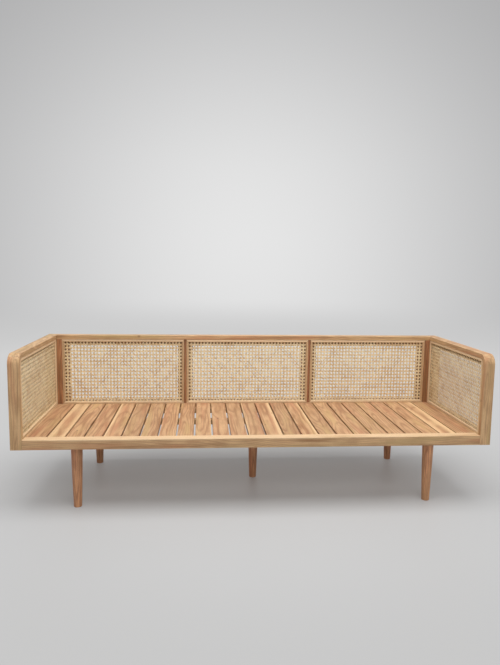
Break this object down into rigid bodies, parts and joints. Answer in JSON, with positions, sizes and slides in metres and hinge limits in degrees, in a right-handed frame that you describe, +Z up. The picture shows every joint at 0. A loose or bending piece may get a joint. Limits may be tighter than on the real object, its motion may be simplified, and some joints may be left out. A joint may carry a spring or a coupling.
{
  "type": "daybed",
  "caption": "Low teak daybed with a slatted deck, square woven cane arms and back with rounded front corners, and short tapered round legs.",
  "frame": {"origin": "on the floor, under the middle of the frame's box", "axes": "+X to the right along the length, as seen from the front; +Y from the front edge to the back; +Z up"},
  "size_m": [2, 0.65, 0.654],
  "materials": {
    "frame_teak": "smooth sanded teak, light oil, straight grain with olive and reddish streaks",
    "slat_teak": "planed teak boards, pink-brown heart with pale sapwood edges, dry finish",
    "leg_teak": "turned reddish-brown teak, satin oil",
    "woven_cane": "natural rattan cane webbing, six-way weave, slight sheen",
    "bead_teak": "small planed teak bead, light oil"
  },
  "bodies": {
    "root": {"left_front_post": "frame_teak", "left_arm_rail": "frame_teak", "left_rear_post": "frame_teak", "left_base_rail": "frame_teak", "right_front_post": "frame_teak", "right_arm_rail": "frame_teak", "right_rear_post": "frame_teak", "right_base_rail": "frame_teak", "back_top_rail": "frame_teak", "back_bottom_rail": "frame_teak", "back_stile_left": "frame_teak", "back_stile_right": "frame_teak", "back_mullion_left": "frame_teak", "back_mullion_right": "frame_teak", "front_rail": "frame_teak", "front_ledger": "frame_teak", "rear_ledger": "frame_teak", "centre_rail": "frame_teak", "slat_01": "slat_teak", "slat_02": "slat_teak", "slat_03": "slat_teak", "slat_04": "slat_teak", "slat_05": "slat_teak", "slat_06": "slat_teak", "slat_07": "slat_teak", "slat_08": "slat_teak", "slat_09": "slat_teak", "slat_10": "slat_teak", "slat_11": "slat_teak", "slat_12": "slat_teak", "slat_13": "slat_teak", "slat_14": "slat_teak", "slat_15": "slat_teak", "slat_16": "slat_teak", "slat_17": "slat_teak", "slat_18": "slat_teak", "slat_19": "slat_teak", "slat_20": "slat_teak", "slat_21": "slat_teak", "slat_22": "slat_teak", "slat_23": "slat_teak", "slat_24": "slat_teak", "slat_25": "slat_teak", "leg_front_left": "leg_teak", "leg_front_right": "leg_teak", "leg_rear_left": "leg_teak", "leg_rear_right": "leg_teak", "leg_centre": "leg_teak", "cane_left": "woven_cane", "cane_right": "woven_cane", "cane_back_left": "woven_cane", "cane_back_middle": "woven_cane", "cane_back_right": "woven_cane", "bead_left": "bead_teak", "bead_right": "bead_teak", "bead_back_left": "bead_teak", "bead_back_middle": "bead_teak", "bead_back_right": "bead_teak"}
  },
  "joints": []
}
